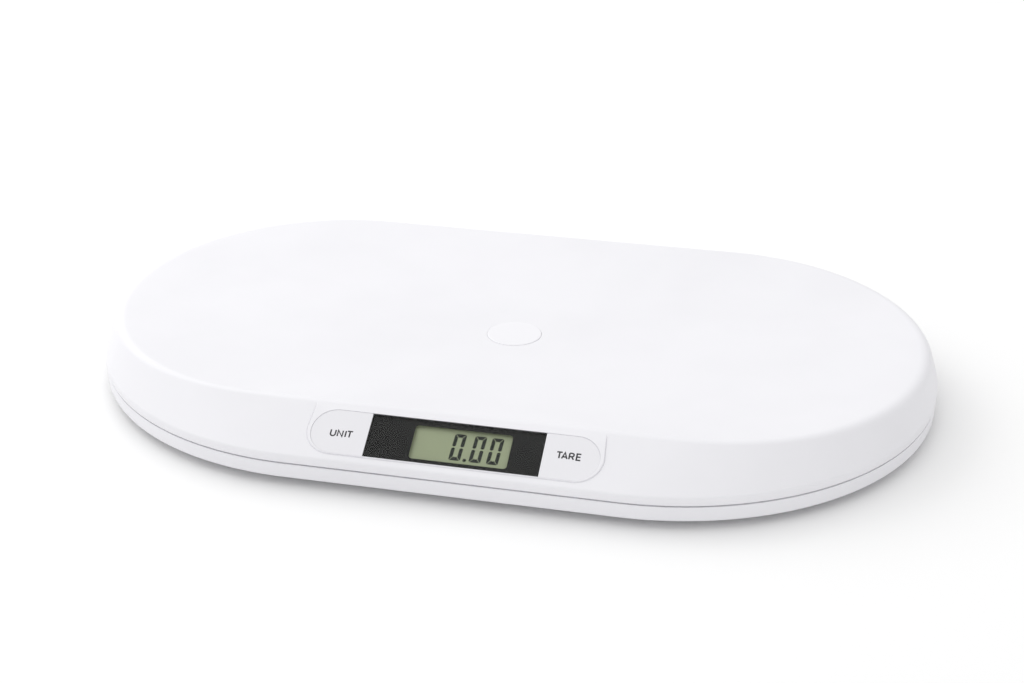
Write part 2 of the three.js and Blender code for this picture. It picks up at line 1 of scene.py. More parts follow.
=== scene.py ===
"""The looks of a small-animal weighing scale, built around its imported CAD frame.

Shapes are worked out in millimetres from the CAD's driving dimensions and put down in metres.
"""

import math

import bmesh
import bpy
import numpy as np
from mathutils import Matrix, Vector
from mathutils.geometry import delaunay_2d_cdt


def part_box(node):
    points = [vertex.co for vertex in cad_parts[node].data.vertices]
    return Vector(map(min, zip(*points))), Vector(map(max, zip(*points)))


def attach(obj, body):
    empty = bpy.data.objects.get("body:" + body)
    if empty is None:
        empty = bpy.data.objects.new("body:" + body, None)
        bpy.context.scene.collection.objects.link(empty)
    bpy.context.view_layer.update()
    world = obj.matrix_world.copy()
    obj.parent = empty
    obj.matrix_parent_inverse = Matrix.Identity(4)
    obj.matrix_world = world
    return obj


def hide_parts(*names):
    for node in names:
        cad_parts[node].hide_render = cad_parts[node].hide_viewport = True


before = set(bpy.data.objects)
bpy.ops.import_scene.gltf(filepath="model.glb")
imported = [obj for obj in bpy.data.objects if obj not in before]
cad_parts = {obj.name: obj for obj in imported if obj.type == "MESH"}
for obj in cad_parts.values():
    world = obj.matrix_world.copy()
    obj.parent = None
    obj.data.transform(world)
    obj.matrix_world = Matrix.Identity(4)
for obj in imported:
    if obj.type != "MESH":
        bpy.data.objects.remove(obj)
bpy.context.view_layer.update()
MM = 0.001


def box_mm(node):
    """A CAD node's box in millimetres."""
    low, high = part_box(node)
    return low / MM, high / MM


# ---- driving dimensions, in millimetres; an oval is (half its straight, its end radius) ----
SHELL_LOW, SHELL_HIGH = box_mm("top_shell")
LENGTH = round(SHELL_HIGH.x - SHELL_LOW.x, 1)
WIDTH = round(SHELL_HIGH.y - SHELL_LOW.y, 1)
EDGE = ((LENGTH - WIDTH) / 2, WIDTH / 2)
RIM = (128.6, 140.0)
LIP_BOTTOM = 16.6
LIP_TOP = 21.9
RIM_CORNER = 42.7
TRAY_CENTRE = 29.8
TRAY_WALL = 2.6
DISH_POWER = 2.2
CAP_EDGE = 18.0
CAP_TOP = TRAY_CENTRE + 0.42
CAP_UNDER = TRAY_CENTRE - 0.3
CAP_STEM = 3.0
CAP_STEM_FOOT = TRAY_CENTRE - 4
CAP_RECESS = 18.1
CAP_FLOOR = 29.2
CAP_STEM_HOLE = 3.4
DISC_ZONE = 0.3

BASE_BOTTOM = 6.0
BASE_WALL_TOP = 15.65
TONGUE_TOP = 19.8
FLOOR_TOP = 8.4

STRIP_UP_SLOPE = 19.8
STRIP_RISE = 0.9
STRIP_HALF = 86.8
STRIP_HALF_HEIGHT = 14.6
STRIP_GAP = 0.3
STRIP_TOP = -0.5
BUTTON_GAP = 0.05
BUTTON_ROUND = 0.35
BUTTON_MIDDLE = 69.0
# (radius, depth) of a button's boss, and (spread, top, foot) of its flange
BUTTON_BOSS = (3.0, 5.7)
BUTTON_FLANGE = (1.3, 4.2, 5.0)
# the word, each letter's left end and the middle's height
LABELS = {
    "unit": ("UNIT", (-74.6, -70.2, -65.4, -64.5), -1.2),
    "tare": ("TARE", (61.5, 64.7, 69.0, 73.3), 1.1),
}
LABEL_HEIGHT = 4.1
LABEL_STROKE = 0.92
PAD_HALF = 89.5
PAD_BOTTOM = -15.35
PAD_CORNER = 16.5
PAD_LEAN = 0.08
PAD_TOP = -0.28
# outwards from the pad's outline: its slope's (start, end) and its groove's (depth, middle, width)
PAD_EDGE = (-0.42, 0.06)
PAD_GROOVE = (0.35, 0.14, 0.13)
# up the skirt: where the pad (starts, ends) running out
PAD_FADE = (14.0, 19.0)
PAD_LINES = (-0.42, -0.34, -0.2, -0.06, 0.06, 0.16, 0.26, 0.5)
PAD_LINES_TOP = 24.5
WINDOW_HALF = 52.6
WINDOW_MIDDLE = 0.7
WINDOW_THICK = 1.5
WINDOW_CORNER = 0.8
# how far the bright rim, a painted highlight, reaches (below, above) the window's lower edge
PAINTED_HIGHLIGHT_RIM = (0.38, 0.02)
LCD_SHIFT = 2.6
LCD_HALF = (29.6, 11.0)
OPENING_SHIFT = (3.4, 0.7)
LCD_TOP = -4.5
MASK_SHIFT = (4.4, -0.05)
MASK_HALF = (29.45, 11.35)
HOLDER_TOP = -2.3
HOLDER_PLATE = -4.2
HOLDER_FOOT = -10.7
HOLDER_FACE = (52.4, 14.1)
HOLDER_BOX = (34, 13.4)
GLASS_HALF = 31.4
GLASS_LAYERS = ((-11.6, 13.2, -5.6, LCD_TOP), (-8.8, 11.6, -6.7, -5.5))
DIGIT_SIZE = (7.1, 17.8)
DIGIT_BAR = 2.15
DIGIT_GAP = 0.14
DIGIT_MIDDLE = 0.7
DIGIT_SLANT = 0.05
DIGIT_LEFTS = (-1.55, 10.65, 21.05)
POINT_PLACE = (8.1, 0.8)
POINT_RADIUS = 1.1
BOARD_POST_X = 92.0
# (outer, bore) radius
BOARD_POST = (3.2, 1.5)
SHELL_BOSS = (4.0, 1.8)

SHELL_SCREWS = [(238, 0), (-238, 0), (75, 128), (-75, 128), (75, -128), (-75, -128)]
FEET = {
    "front_left": (-190, -92),
    "front_right": (190, -92),
    "back_left": (-190, 92),
    "back_right": (190, 92),
}
FOOT_WELL = 21.0
FOOT_WALL = ((25, 8.2), (25, 13.7), (24.7, 14), (23.3, 14), (23, 13.7), (23, 8.2))
# (half length, half width, top) of the bay, and half sizes of the door
BAY = (26.2, 17.2, 20.4)
BAY_PLATE = (-34, 35, -22, 22)
BAY_BOX = (-28, 28, -19, 19)
DOOR = (29.0, 20.0)
DOOR_CORNER = 1.4
DOOR_TABS = (-10, 10)
GRIP = {"start": 19, "pitch": 2, "width": 0.9, "half": 6, "count": 4}

# ---- fineness of the curved surfaces ----
ARC_STEPS = 96
PATCH_HALF = 95.0
PATCH_CELLS = 24
PATCH_START = 0.93
ROUND_STEPS = 96

# ---- floor, light and camera, in metres and degrees ----
FLOOR_HALF = 6.0
SKY_AIM = (-0.45, 0, 0.6)
SKY_STRENGTH = (0.53, 1.12)
KEY_PLACE = (-1.2, 0.65, 1.15)
KEY_SIZE = (1.6, 1.2)
KEY_POWER = 8.5
CAMERA_AZIMUTH = 13.07
CAMERA_ELEVATION = 26.38
CAMERA_DISTANCE = 1.1812
CAMERA_TARGET = (0, 0, 0.0162)
CAMERA_LENS = 62.42
CAMERA_SHIFT = (-0.0024, 0.0103)


# ================ materials ================
def new_material(name, colour, roughness, metallic=0.0):
    """A Principled material, with its node tree and shader node."""
    material = bpy.data.materials.new(name)
    material.use_nodes = True
    tree = material.node_tree
    shader = tree.nodes["Principled BSDF"]
    shader.inputs["Base Color"].default_value = (*colour, 1)
    shader.inputs["Roughness"].default_value = roughness
    shader.inputs["Metallic"].default_value = metallic
    material.diffuse_color = (*colour, 1)
    return material, tree, shader


def noise(tree, scale, detail=2.0, stretch=(1, 1, 1)):
    """A noise pattern fixed to the object, scale in cells per metre."""
    place = tree.nodes.new("ShaderNodeTexCoord")
    mapping = tree.nodes.new("ShaderNodeMapping")
    mapping.inputs["Scale"].default_value = stretch
    texture = tree.nodes.new("ShaderNodeTexNoise")
    texture.inputs["Scale"].default_value = scale
    texture.inputs["Detail"].default_value = detail
    tree.links.new(place.outputs["Object"], mapping.inputs["Vector"])
    tree.links.new(mapping.outputs["Vector"], texture.inputs["Vector"])
    return texture


def two_stops(tree, low, dark, high, light):
    """A colour ramp between two colours at two places."""
    ramp = tree.nodes.new("ShaderNodeValToRGB")
    stops = ramp.color_ramp.elements
    for stop, position, colour in ((stops[0], low, dark), (stops[1], high, light)):
        stop.position = position
        stop.color = (*colour, 1)
    return ramp


def vary_colour(tree, shader, pattern, dark, light):
    ramp = two_stops(tree, 0.35, dark, 0.65, light)
    tree.links.new(pattern.outputs["Fac"], ramp.inputs["Fac"])
    tree.links.new(ramp.outputs["Color"], shader.inputs["Base Color"])


def vary_roughness(tree, shader, pattern, low, high):
    spread = tree.nodes.new("ShaderNodeMapRange")
    spread.inputs["To Min"].default_value = low
    spread.inputs["To Max"].default_value = high
    tree.links.new(pattern.outputs["Fac"], spread.inputs["Value"])
    tree.links.new(spread.outputs["Result"], shader.inputs["Roughness"])


def add_bump(tree, shader, pattern, strength, distance):
    bump = tree.nodes.new("ShaderNodeBump")
    bump.inputs["Strength"].default_value = strength
    bump.inputs["Distance"].default_value = distance
    tree.links.new(pattern.outputs["Fac"], bump.inputs["Height"])
    tree.links.new(bump.outputs["Normal"], shader.inputs["Normal"])


def moulded(name, dark, light, roughness, grain=2600.0, strength=0.12, depth=0.00006, gloss=0.5):
    """Injection-moulded plastic: faint flow tint, fine spark-eroded grain, uneven sheen."""
    material, tree, shader = new_material(name, light, roughness)
    shader.inputs["Specular IOR Level"].default_value = gloss
    vary_colour(tree, shader, noise(tree, 14, 3), dark, light)
    vary_roughness(tree, shader, noise(tree, 55, 4), roughness - 0.05, roughness + 0.06)
    add_bump(tree, shader, noise(tree, grain, 3), strength, depth)
    return material


def brushed(name, dark, light, roughness, stretch):
    """Rolled or turned metal, with fine lines along one direction."""
    material, tree, shader = new_material(name, light, roughness, 1.0)
    lines = noise(tree, 900, 4, stretch)
    vary_colour(tree, shader, lines, dark, light)
    vary_roughness(tree, shader, lines, roughness - 0.08, roughness + 0.12)
    add_bump(tree, shader, lines, 0.2, 0.00003)
    return material


def rubber(name, dark, light):
    material, tree, shader = new_material(name, light, 0.85)
    speckle = noise(tree, 1500, 5)
    vary_colour(tree, shader, speckle, dark, light)
    add_bump(tree, shader, speckle, 0.5, 0.0002)
    shader.inputs["Sheen Weight"].default_value = 0.15
    return material


def clear_window(name):
    """Clear acrylic: see-through, with a polished reflection and the faintest haze."""
    material, tree, shader = new_material(name, (1, 1, 1), 0.04)
    tree.nodes.remove(shader)
    output = tree.nodes["Material Output"]
    see = tree.nodes.new("ShaderNodeBsdfTransparent")
    see.inputs["Color"].default_value = (0.98, 0.985, 0.98, 1)
    gloss = tree.nodes.new("ShaderNodeBsdfAnisotropic")
    gloss.inputs["Color"].default_value = (1, 1, 1, 1)
    vary_roughness(tree, gloss, noise(tree, 30, 3), 0.02, 0.09)
    edge = tree.nodes.new("ShaderNodeFresnel")
    edge.inputs["IOR"].default_value = 1.18
    mix = tree.nodes.new("ShaderNodeMixShader")
    tree.links.new(edge.outputs["Fac"], mix.inputs["Fac"])
    tree.links.new(see.outputs["BSDF"], mix.inputs[1])
    tree.links.new(gloss.outputs["BSDF"], mix.inputs[2])
    tree.links.new(mix.outputs["Shader"], output.inputs["Surface"])
    return material


def circuit_board(name):
    """Green solder mask over copper tracks: a fine cell pattern under a glossy coat."""
    material, tree, shader = new_material(name, (0.02, 0.16, 0.06), 0.4)
    place = tree.nodes.new("ShaderNodeTexCoord")
    tracks = tree.nodes.new("ShaderNodeTexVoronoi")
    tracks.feature = "DISTANCE_TO_EDGE"
    tracks.inputs["Scale"].default_value = 260
    ramp = two_stops(tree, 0.04, (0.06, 0.30, 0.10), 0.09, (0.015, 0.13, 0.05))
    tree.links.new(place.outputs["Object"], tracks.inputs["Vector"])
    tree.links.new(tracks.outputs["Distance"], ramp.inputs["Fac"])
    tree.links.new(ramp.outputs["Color"], shader.inputs["Base Color"])
    add_bump(tree, shader, noise(tree, 700, 2), 0.15, 0.00005)
    return material


def battery_jacket(name):
    """A cell's printed jacket: a dark sleeve with a coppery band towards the button end."""
    material, tree, shader = new_material(name, (0.1, 0.1, 0.11), 0.3, 0.6)
    place = tree.nodes.new("ShaderNodeTexCoord")
    split = tree.nodes.new("ShaderNodeSeparateXYZ")
    spread = tree.nodes.new("ShaderNodeMapRange")
    spread.inputs["From Min"].default_value = -BAY[0] * MM
    spread.inputs["From Max"].default_value = BAY[0] * MM
    can, sleeve, band = (0.62, 0.62, 0.64), (0.05, 0.055, 0.07), (0.55, 0.28, 0.1)
    ramp = two_stops(tree, 0, can, 0.14, sleeve)
    ramp.color_ramp.interpolation = "CONSTANT"
    for position, colour in ((0.7, band), (0.88, can)):
        stop = ramp.color_ramp.elements.new(position)
        stop.color = (*colour, 1)
    tree.links.new(place.outputs["Object"], split.inputs["Vector"])
    tree.links.new(split.outputs["X"], spread.inputs["Value"])
    tree.links.new(spread.outputs["Result"], ramp.inputs["Fac"])
    tree.links.new(ramp.outputs["Color"], shader.inputs["Base Color"])
    add_bump(tree, shader, noise(tree, 500, 2), 0.1, 0.00004)
    return material


WHITE = moulded("white_shell", (0.800, 0.796, 0.826), (0.822, 0.818, 0.848), 0.42)
# a lighter white, for the centre disc and for the painted highlight strip under the window
DISC_AND_HIGHLIGHT_WHITE = moulded("white_disc_and_painted_highlight", (0.818, 0.814, 0.843), (0.840, 0.836, 0.865), 0.42)
WHITE_GLOSS = moulded(
    "white_buttons", (0.775, 0.770, 0.800), (0.790, 0.785, 0.815), 0.34, grain=3400.0, strength=0.06
)
BLACK = moulded(
    "black_holder", (0.006, 0.006, 0.006), (0.010, 0.010, 0.010), 0.5, grain=2200.0, strength=0.2,
    gloss=0.2,
)
INK = moulded(
    "label_ink", (0.018, 0.018, 0.022), (0.03, 0.03, 0.036), 0.55, grain=4000.0, strength=0.1,
    depth=0.00002,
)
LCD_FACE = moulded(
    "lcd_face", (0.400, 0.445, 0.288), (0.420, 0.465, 0.303), 0.32, grain=5000.0, strength=0.04,
    depth=0.00002, gloss=0.25,
)
LCD_INK = moulded(
    "lcd_segments", (0.016, 0.020, 0.016), (0.024, 0.029, 0.024), 0.5, grain=4000.0, strength=0.05,
    depth=0.00002, gloss=0.2,
)
RUBBER = rubber("grey_rubber", (0.20, 0.20, 0.205), (0.27, 0.27, 0.275))
SHEATH = rubber("lead_sheath", (0.02, 0.02, 0.02), (0.035, 0.035, 0.035))
STEEL = brushed("bright_steel", (0.50, 0.51, 0.52), (0.68, 0.69, 0.70), 0.3, (1, 1, 0.08))
SWITCH = brushed("switch_metal", (0.45, 0.45, 0.45), (0.62, 0.62, 0.62), 0.35, (0.1, 1, 1))
CELL = battery_jacket("battery_can")
BOARD = circuit_board("circuit_board")
CLEAR = clear_window("window_clear")

CAD_LOOKS = {
    "lcd_connector": RUBBER,
    "main_board": BOARD,
    "controller_chip": BLACK,
    "unit_stem": BLACK,
    "tare_stem": BLACK,
    "unit_switch": SWITCH,
    "tare_switch": SWITCH,
    "unit_board_screw": STEEL,
    "tare_board_screw": STEEL,
    "battery_lead": SHEATH,
}
for prefix, look in (
    ("cell_lead_", SHEATH),
    ("load_cell_", STEEL),
    ("cell_retainer_", WHITE),
    ("contact_", STEEL),
    ("battery_1", CELL),
    ("battery_2", CELL),
    ("battery_3", CELL),
    ("shell_screw_", STEEL),
):
    CAD_LOOKS.update({n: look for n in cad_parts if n.startswith(prefix)})
for node, look in CAD_LOOKS.items():
    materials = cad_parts[node].data.materials
    materials.clear()
    materials.append(look)


# ================ mesh building ================
def smooth(mesh, sharp):
    """Smooth shading, with sharp edges where faces meet at more than an angle in degrees."""
    mesh.polygons.foreach_set("use_smooth", [True] * len(mesh.polygons))
    mesh.set_sharp_from_angle(angle=math.radians(sharp))


def even_shading(made):
    modifier = made.modifiers.new("even_shading", "WEIGHTED_NORMAL")
    modifier.keep_sharp = True


def piece(name, points, faces, material, body, replaced=(), sharp=38, weighted=True):
    """A mesh piece from points in millimetres, shaded smooth except over sharp corners."""
    mesh = bpy.data.meshes.new(name)
    mesh.from_pydata([Vector(p) * MM for p in points], [], faces)
    shape = bmesh.new()
    shape.from_mesh(mesh)
    bmesh.ops.remove_doubles(shape, verts=shape.verts, dist=0.002 * MM)
    loose = [v for v in shape.verts if not v.link_faces]
    bmesh.ops.delete(shape, geom=loose, context="VERTS")
    bmesh.ops.recalc_face_normals(shape, faces=shape.faces)
    shape.to_mesh(mesh)
    shape.free()
    smooth(mesh, sharp)
    mesh.materials.append(material)
    made = bpy.data.objects.new(name, mesh)
    bpy.context.scene.collection.objects.link(made)
    if weighted:
        even_shading(made)
    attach(made, body)
    if replaced:
        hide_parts(*replaced)
    return made


class Solid:
    """Points and faces gathered from several closed shapes."""

    def __init__(self):
        self.points = []
        self.faces = []

    def add(self, points, faces, matrix=None):
        start = len(self.points)
        self.points += [matrix @ Vector(p) if matrix else Vector(p) for p in points]
        self.faces += [tuple(start + i for i in face) for face in faces]


def stacked(loops, closed_ends=True):
    """Skins equal-length loops in order, with a flat face over each end."""
    n = len(loops[0])
    points = [p for loop in loops for p in loop]
    faces = []
    for k in range(len(loops) - 1):
        for i in range(n):
            j = (i + 1) % n
            faces.append((k * n + i, k * n + j, (k + 1) * n + j, (k + 1) * n + i))
    if closed_ends:
        faces.append(tuple(reversed(range(n))))
        faces.append(tuple((len(loops) - 1) * n + i for i in range(n)))
    return points, faces


def looped(loops):
    """Skins equal-length loops in order and back to the first, as a frame."""
    n = len(loops[0])
    points, faces = stacked(loops, False)
    last = (len(loops) - 1) * n
    faces += [(last + i, last + (i + 1) % n, (i + 1) % n, i) for i in range(n)]
    return points, faces


def circle(x, y, radius, z, steps):
    angles = [2 * math.pi * i / steps for i in range(steps)]
    return [(x + radius * math.cos(a), y + radius * math.sin(a), z) for a in angles]


def turned(profile, steps, x=0.0, y=0.0):
    """A turned solid about an upright axis; the (radius, height) profile starts and ends on it."""
    return stacked([circle(x, y, radius, z, steps) for radius, z in profile[1:-1]])


def arc(x, y, radius, start, end, steps):
    return [
        (
            x + radius * math.cos(math.radians(start + (end - start) * i / steps)),
            y + radius * math.sin(math.radians(start + (end - start) * i / steps)),
        )
        for i in range(steps + 1)
    ]


def rounded_box(x0, x1, y0, y1, radius, steps=6):
    """A rectangle's outline with round corners, anticlockwise."""
    corners = ((x1, y0, -90), (x1, y1, 0), (x0, y1, 90), (x0, y0, 180))
    points = []
    for x, y, start in corners:
        cx = x - radius if x == x1 else x + radius
        cy = y - radius if y == y1 else y + radius
        points += arc(cx, cy, radius, start, start + 90, steps)
    return points


def lifted(outline, height):
    return [(x, y, height) for x, y in outline]


def slab(outline, low, high):
    return stacked([lifted(outline, low), lifted(outline, high)])


# ================ the oval plan ================
def oval_stations():
    """Stations round the oval: (kind, share, cosine, sine), closer together by the strip.

    "arc" is on a round end, "in" beside the strip and "out" on the rest of a straight."""
    found = []
    inner = [1 - 2 * i / PATCH_CELLS for i in range(PATCH_CELLS + 1)]
    shares = [("out", 1)] + [("in", b) for b in inner] + [("out", -1)]
    for end in (1, -1):
        for i in range(ARC_STEPS + 1):
            angle = -math.pi / 2 + math.pi * i / ARC_STEPS
            found.append(("arc", end, math.cos(angle), end * math.sin(angle)))
        for kind, share in shares:
            found.append((kind, end * share, 0.0, end))
    return found


STATIONS = oval_stations()
COUNT = len(STATIONS)


def oval_point(station, oval, z, border=PATCH_HALF):
    """A station's place on an oval of half-straight oval[0] and end radius oval[1]."""
    kind, share, cos, sin = station
    straight, radius = oval
    if kind == "arc":
        return Vector((share * (straight + radius * cos), radius * sin, z))
    if kind == "out":
        return Vector((share * (straight + border) / 2, radius * sin, z))
    return Vector((share * border, radius * sin, z))


def oval_ring(oval, z, border=PATCH_HALF):
    return [oval_point(s, oval, z, border) for s in STATIONS]


def inset(oval, distance):
    return (oval[0], oval[1] - distance)


def scaled(oval, factor):
    return (oval[0] * factor, oval[1] * factor)


def bezier(a, b, c, t):
    return a * (1 - t) ** 2 + b * (2 * t * (1 - t)) + c * t**2


def dish_height(factor):
    return TRAY_CENTRE + (RIM_CORNER - TRAY_CENTRE) * factor**DISH_POWER


def dish_factor(x, y):
    """How far out a point of the tray lies, 0 at the centre and 1 at the rim's corner."""
    s, r = RIM
    x, y = abs(x), abs(y)
    if x * r <= y * s:
        return y / r
    spread = r * r - s * s
    return (math.sqrt((s * x) ** 2 + spread * (x * x + y * y)) - s * x) / spread


def dish_border(factor):
    return PATCH_HALF * min(1.0, factor / PATCH_START)


def dish_ring(factor, drop=0.0):
    return oval_ring(scaled(RIM, factor), dish_height(factor) - drop, dish_border(factor))


def rim_ring(t):
    """The rim's rounding, from the tray at t = 0 to the skirt at t = 1."""
    ring = []
    for station in STATIONS:
        cos = station[2]
        size = 3 + 4 * cos * cos
        corner = oval_point(station, RIM, RIM_CORNER)
        crease = oval_point(station, EDGE, LIP_TOP)
        factor = 1 - size / (RIM[1] + RIM[0] * cos)
        inner = oval_point(station, scaled(RIM, factor), dish_height(factor))
        outer = corner + (crease - corner).normalized() * size
        ring.append(bezier(inner, corner, outer, t))
    return ring


def crease_ring(t):
    """The fillet between the skirt and the upright lip."""
    size = 1.4
    ring = []
    for station in STATIONS:
        crease = oval_point(station, EDGE, LIP_TOP)
        rim = oval_point(station, RIM, RIM_CORNER)
        above = crease + (rim - crease).normalized() * size
        below = crease - Vector((0, 0, size))
        ring.append(bezier(above, crease, below, t))
    return ring


def round_ring(radius, z):
    """A circle about the tray's centre, its points in line with the oval's stations."""
    ring = []
    for p in dish_ring(DISC_ZONE):
        flat = Vector((p.x, p.y, 0)).normalized() * radius
        height = dish_height(dish_factor(flat.x, flat.y)) if z is None else z
        ring.append(Vector((flat.x, flat.y, height)))
    return ring


def blended_ring(share, drop=0.0):
    """Between the centre cap's circle at share 0 and the tray's oval at share 1."""
    ring = []
    for a, b in zip(round_ring(CAP_RECESS + 0.6, None), dish_ring(DISC_ZONE)):
        p = a.lerp(b, share)
        ring.append(Vector((p.x, p.y, dish_height(dish_factor(p.x, p.y)) - drop)))
    return ring


# ================ the control strip's frame ================
SLOPE = math.atan2(RIM_CORNER - LIP_TOP, EDGE[1] - RIM[1])
STRIP = (
    Matrix.Translation((0, -EDGE[1], LIP_TOP))
    @ Matrix.Rotation(SLOPE, 4, "X")
    @ Matrix.Translation((0, STRIP_UP_SLOPE, STRIP_RISE))
)
TO_STRIP = STRIP.inverted()


def pill_outline(grow, steps=28):
    radius = STRIP_HALF_HEIGHT + grow
    x = STRIP_HALF - STRIP_HALF_HEIGHT
    return arc(x, 0, radius, -90, 90, steps) + arc(-x, 0, radius, 90, 270, steps)


def clear_of(outline, points, triangles):
    """The triangles whose middles lie outside a closed outline."""
    kept = []
    for t in triangles:
        u = sum(points[i].x for i in t) / 3
        v = sum(points[i].y for i in t) / 3
        if not inside(outline, u, v):
            kept.append(tuple(t))
    return kept


def inside(outline, u, v):
    """Whether a point lies inside a closed outline."""
    within = False
    for (ax, ay), (bx, by) in zip(outline, outline[1:] + outline[:1]):
        if (ay > v) != (by > v) and u < ax + (v - ay) * (bx - ax) / (by - ay):
            within = not within
    return within


def pad_half(v):
    """The pad's half width: it narrows a little towards the rim."""
    return PAD_HALF - PAD_LEAN * max(0.0, v - PAD_BOTTOM - PAD_CORNER)


def pad_distance(u, v):
    """Signed distance to the raised pad's outline, negative inside it."""
    cx = PAD_HALF - PAD_CORNER
    cy = PAD_BOTTOM + PAD_CORNER
    if v < cy and abs(u) > cx:
        return math.hypot(abs(u) - cx, v - cy) - PAD_CORNER
    return max(abs(u) - pad_half(v), PAD_BOTTOM - v)


def pad_line(offset, top, steps=20):
    """The pad's outline moved outwards, from its top left, down and round to its top right."""
    cx = PAD_HALF - PAD_CORNER
    cy = PAD_BOTTOM + PAD_CORNER
    radius = PAD_CORNER + offset
    heights = [cy + (top - cy) * i / 6 for i in range(1, 7)]
    side = [(pad_half(y) + offset, y) for y in heights]
    left = [(-x, y) for x, y in reversed(side)]
    corners = arc(-cx, cy, radius, 180, 270, steps) + arc(cx, cy, radius, 270, 360, steps)
    return left + corners + side


def eased(t):
    t = min(1.0, max(0.0, t))
    return t * t * (3 - 2 * t)


# ================ top shell ================
def triangulate(points, edges):
    """Constrained triangles over plane points: (points, triangles, each point's own inputs)."""
    made = delaunay_2d_cdt([Vector(p) for p in points], edges, [], 0, 1e-7, True)
    return made[0], made[2], made[3]


def polyline_edges(start, count, closed=False):
    edges = [(start + i, start + i + 1) for i in range(count - 1)]
    if closed:
        edges.append((start + count - 1, start))
    return edges


def boundary_loop(triangles, keep):
    """The vertices of the one closed loop of open edges whose ends all satisfy keep, in order."""
    seen = {}
    for t in triangles:
        for a, b in ((t[0], t[1]), (t[1], t[2]), (t[2], t[0])):
            if (b, a) in seen:
                del seen[(b, a)]
            else:
                seen[(a, b)] = True
    following = {a: b for a, b in seen if keep(a) and keep(b)}
    first = next(iter(following))
    loop = [first]
    while following[loop[-1]] != first:
        loop.append(following[loop[-1]])
    return loop


def top_shell():
    """Tray, rim, skirt and lip in one skin, from the disc's recess outwards and back underneath."""
    shell = Solid()
    rings = [
        round_ring(CAP_RECESS, CAP_FLOOR),
        round_ring(CAP_RECESS, TRAY_CENTRE - 0.3),
        round_ring(CAP_RECESS + 0.03, TRAY_CENTRE - 0.06),
        round_ring(CAP_RECESS + 0.12, TRAY_CENTRE),
    ]
    rings += [blended_ring(t) for t in (0, 0.12, 0.3, 0.5, 0.75, 1)]
    rings += [dish_ring(DISC_ZONE + (PATCH_START - DISC_ZONE) * i / 14) for i in range(1, 15)]
    patch_top = len(rings) - 1
    rings += [rim_ring(i / 10) for i in range(11)]
    patch_bottom = len(rings)
    rings += [crease_ring(i / 6) for i in range(7)]
    rings += [
        oval_ring(inset(EDGE, 0.18), LIP_BOTTOM + 0.35),
        oval_ring(inset(EDGE, 0.28), LIP_BOTTOM + 0.1),
        oval_ring(inset(EDGE, 0.55), LIP_BOTTOM),
        oval_ring(inset(EDGE, 2.1), LIP_BOTTOM),
        oval_ring(inset(EDGE, 2.4), LIP_BOTTOM + 0.3),
        oval_ring(inset(EDGE, 2.4), LIP_TOP - 1.3),
    ]
    inner_bottom = len(rings) - 1
    rings.append(oval_ring((RIM[0] - 1.2, RIM[1] - 1.4), RIM_CORNER - 3.3))
    rings += [dish_ring(f, TRAY_WALL) for f in (0.93, 0.85, 0.7, 0.55, 0.4, 0.3)]
    rings += [blended_ring(t, TRAY_WALL) for t in (0.6, 0.2)]
    rings += [
        round_ring(CAP_STEM_HOLE, TRAY_CENTRE - TRAY_WALL),
        round_ring(CAP_STEM_HOLE, CAP_FLOOR),
    ]
    for ring in rings:
        shell.points += ring

    front = [
        i
        for i, s in enumerate(STATIONS)
        if s[0] == "in" and s[3] < 0 and STATIONS[(i + 1) % COUNT][0] == "in"
    ]
    columns = front + [front[-1] + 1]
    for k in range(len(rings)):
        after = (k + 1) % len(rings)
        gap = patch_top <= k < patch_bottom or k == inner_bottom
        for i in range(COUNT):
            if gap and i in front:
                continue
            j = (i + 1) % COUNT
            face = (k * COUNT + i, after * COUNT + i, after * COUNT + j, k * COUNT + j)
            shell.faces.append(face)

    opening = outer_patch(shell, rings, columns, patch_top, patch_bottom)
    inner_patch(shell, rings, columns, inner_bottom, opening)
    for x, y in SHELL_SCREWS:
        top = dish_height(dish_factor(x, y)) - TRAY_WALL + 0.5
        shell.add(*tube_wall(SHELL_BOSS, 13.8, top, x, y))
    for x in (-BOARD_POST_X, BOARD_POST_X):
        shell.add(*tube_wall(BOARD_POST, HOLDER_FOOT, -2.4, x, 0), STRIP)
    piece(
        "top_shell_moulding", shell.points, shell.faces, WHITE,
        "chassis", ("top_shell",),
    )


